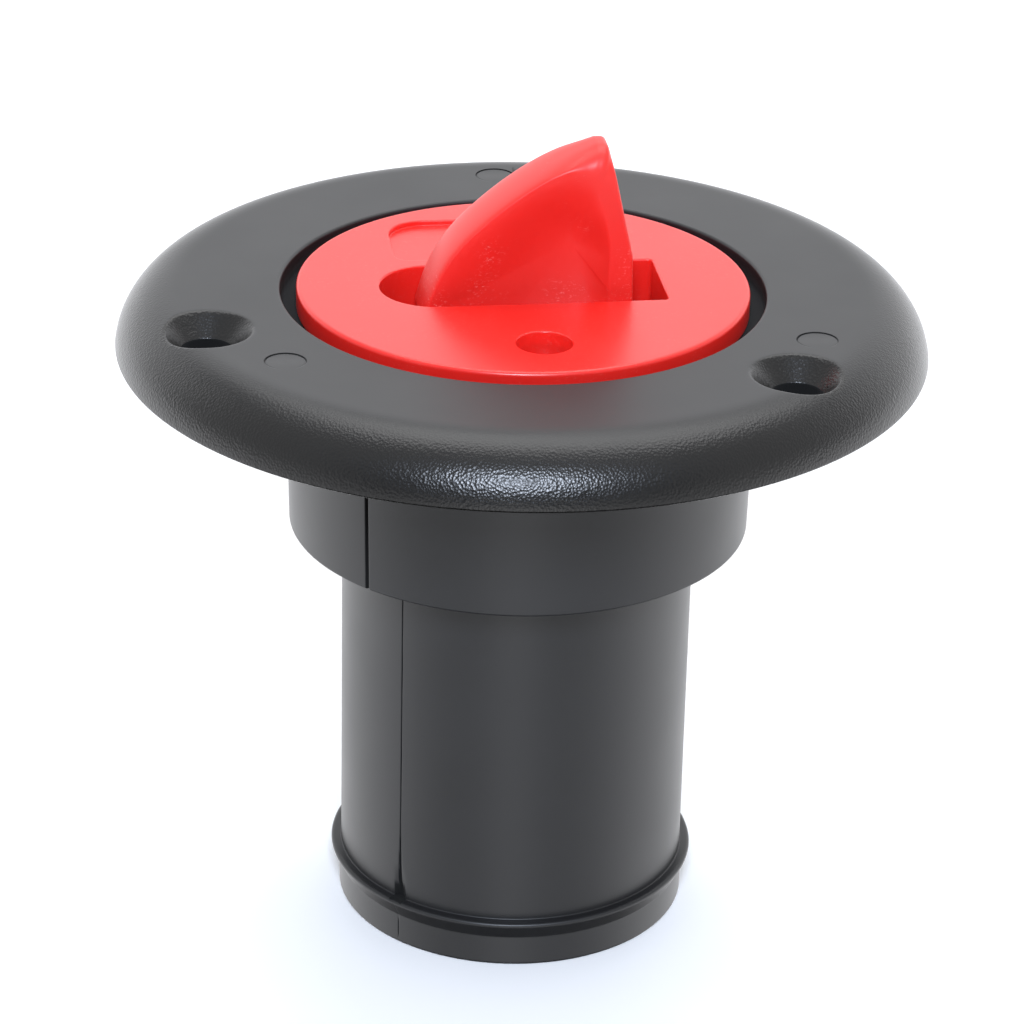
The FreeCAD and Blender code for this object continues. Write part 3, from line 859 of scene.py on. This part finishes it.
# the edge's rounding: slight along the spine and the belly, as wide as the land allows along the rim
on_rim = ((blade[:, 1] > low_rim[1] - 0.02) & (blade[:, 0] > spine_at + 0.6)) | (blade[:, 1] > tip_at - 2.4)
rimness = np.clip(softened(on_rim.astype(float), 5), 0, 1)
tipness = np.clip(softened((blade[:, 1] > tip_at - 1.6).astype(float), 5) * 1.5, 0, 1)
facing = np.clip(np.abs((ray * outward(blade)).sum(1)) / reach, 0.4, 1)
land = reach - dish_reach
round_wide = softened(np.minimum(land - 0.12, (0.4 + 2.6 * rimness) / facing), 7)
round_wide = np.minimum(round_wide, land - 0.08)
round_deep = 0.4 + 3.2 * rimness - 0.7 * tipness

# the dish: its edge is crisp low down and soft near the tip, and its depth lines get rounder inwards
dish_edge = 1.35 + 0.9 * softened(np.clip((blade[:, 1] - 7.0) / 8.0, 0, 1), 5)
round_reach = softened(dish_reach, 30)
inner = (np.linspace(0, 1, 30) ** 0.8)[:, None]
flat = np.linspace(0, 1, 5)[1:-1, None]
turn_over = np.radians(np.linspace(90, 0, 12))[:, None]
rows = np.concatenate([
    inner * (round_reach + (dish_reach - round_reach) * inner ** 2) / reach,
    dish_reach / reach + flat * (1 - (round_wide + dish_reach) / reach),
    1 - round_wide / reach * (1 - np.cos(turn_over)),
])
thick = np.concatenate([
    half_t - dish_depth * (1 - inner ** 2) ** dish_edge,
    np.full((len(flat), len(blade)), half_t),
    half_t - round_deep * (1 - np.sin(turn_over)),
])
below, along = [pole[k] + rows * ray[:, k] for k in (0, 1)]
side = np.stack([hinge_x - along * math.sin(lean) - below * math.cos(lean), thick,
                 hinge_z + along * math.cos(lean) - below * math.sin(lean)], -1)
lever_shell = Shell()
lever_shell.add_grid(side)
lever_shell.add_grid(side * np.array([1, -1, 1]))
share = np.linspace(1, -1, 5)[:, None]
edge_x, edge_z = [np.broadcast_to(side[-1, :, k], (len(share), len(blade))) for k in (0, 2)]
lever_shell.add_grid(np.stack([edge_x, share * thick[-1], edge_z], -1))


def about_pin(profile, count):
    """A (radius, distance along) profile turned about the cross pin's own axis."""
    made = spin(np.array(profile), np.linspace(0, math.tau, count, endpoint=False))
    return np.stack([hinge_x + made[..., 0], made[..., 2], hinge_z - made[..., 1]], -1)


knuckle_bore_r = pin_r + 0.06
knuckle = rounded([(knuckle_bore_r, -knuckle_half, 0.1), (heel_r, -knuckle_half, 0.3),
                   (heel_r, knuckle_half, 0.3), (knuckle_bore_r, knuckle_half, 0.1)])
lever_shell.add_grid(about_pin(knuckle, 96), close_rows=True)
lever = lever_shell.mesh("lever_moulding", red_moulding("handled_red_nylon", 1.0))
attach(lever, "fold_lever")
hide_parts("lever")


# ---- hinge pin -------------------------------------------------------------------------------
# A length of drawn stainless wire with chamfered ends, pressed in from the shank's side. It lies
# hidden inside the lever's knuckle and the cap's webs.

pin_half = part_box("hinge_pin")[1].y / MM
pin_chamfer = 0.3
pin_profile = rounded([
    (0.02, -pin_half, 0), (pin_r - pin_chamfer, -pin_half, 0.08), (pin_r, -pin_half + pin_chamfer, 0.08),
    (pin_r, pin_half - pin_chamfer, 0.08), (pin_r - pin_chamfer, pin_half, 0.08), (0.02, pin_half, 0),
], closed=False)
pin_shell = Shell()
pin_shell.add_grid(about_pin(pin_profile, 64), ends=True)
drawn_stainless, tree, shader = new_material("drawn_stainless_steel")
on_piece = add_node(tree, "ShaderNodeTexCoord").outputs["Object"]
squeezed = add_node(tree, "ShaderNodeMapping", Vector=on_piece, Scale=(1.0, 0.04, 1.0))
drawing = add_node(tree, "ShaderNodeTexNoise", Vector=squeezed.outputs[0], Scale=1 / (0.08 * MM), Detail=3.0)
tone = add_node(tree, "ShaderNodeMix", {"data_type": "RGBA"}, Input_0=drawing.outputs[0],
                Input_6=srgb("a9a8a5"), Input_7=srgb("c9c8c6"))
tree.links.new(tone.outputs[2], shader.inputs["Base Color"])
shader.inputs["Metallic"].default_value = 1.0
shader.inputs["Roughness"].default_value = 0.3
lines = add_node(tree, "ShaderNodeBump", Height=drawing.outputs[0], Strength=0.3, Distance=0.01 * MM)
tree.links.new(lines.outputs[0], shader.inputs["Normal"])
pin = pin_shell.mesh("cross_pin", drawn_stainless)
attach(pin, "screw_cap")
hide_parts("hinge_pin")


# ---- seal ------------------------------------------------------------------------------------
# A nitrile O-ring in the shank's groove, squeezed to an oval by the neck. It shows only when the cap
# is unscrewed.

seal_low, seal_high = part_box("cap_seal")
seal_out = seal_high.x / MM
seal_middle = (seal_low.z + seal_high.z) / 2 / MM
seal_tall = (seal_high.z - seal_low.z) / 2 / MM
seal_wide = 1.3
turn = np.linspace(0, math.tau, 40, endpoint=False)
oval = np.stack([seal_out - seal_wide + seal_wide * np.cos(turn), seal_middle + seal_tall * np.sin(turn)], 1)
seal_shell = Shell()
seal_shell.add_grid(spin(oval, np.linspace(0, math.tau, 240, endpoint=False)), close_rows=True)
nitrile, tree, shader = new_material("moulded_nitrile_rubber")
on_piece = add_node(tree, "ShaderNodeTexCoord").outputs["Object"]
dust = add_node(tree, "ShaderNodeTexNoise", Vector=on_piece, Scale=1 / (0.5 * MM), Detail=4.0, Roughness=0.65)
bloom = add_node(tree, "ShaderNodeMix", {"data_type": "RGBA"}, Input_0=dust.outputs[0],
                 Input_6=srgb("0d0d0e"), Input_7=srgb("232324"))
tree.links.new(bloom.outputs[2], shader.inputs["Base Color"])
shader.inputs["Roughness"].default_value = 0.55
skin_bump = add_node(tree, "ShaderNodeBump", Height=dust.outputs[0], Strength=0.2, Distance=0.02 * MM)
tree.links.new(skin_bump.outputs[0], shader.inputs["Normal"])
seal = seal_shell.mesh("o_ring", nitrile)
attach(seal, "seal")
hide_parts("cap_seal")
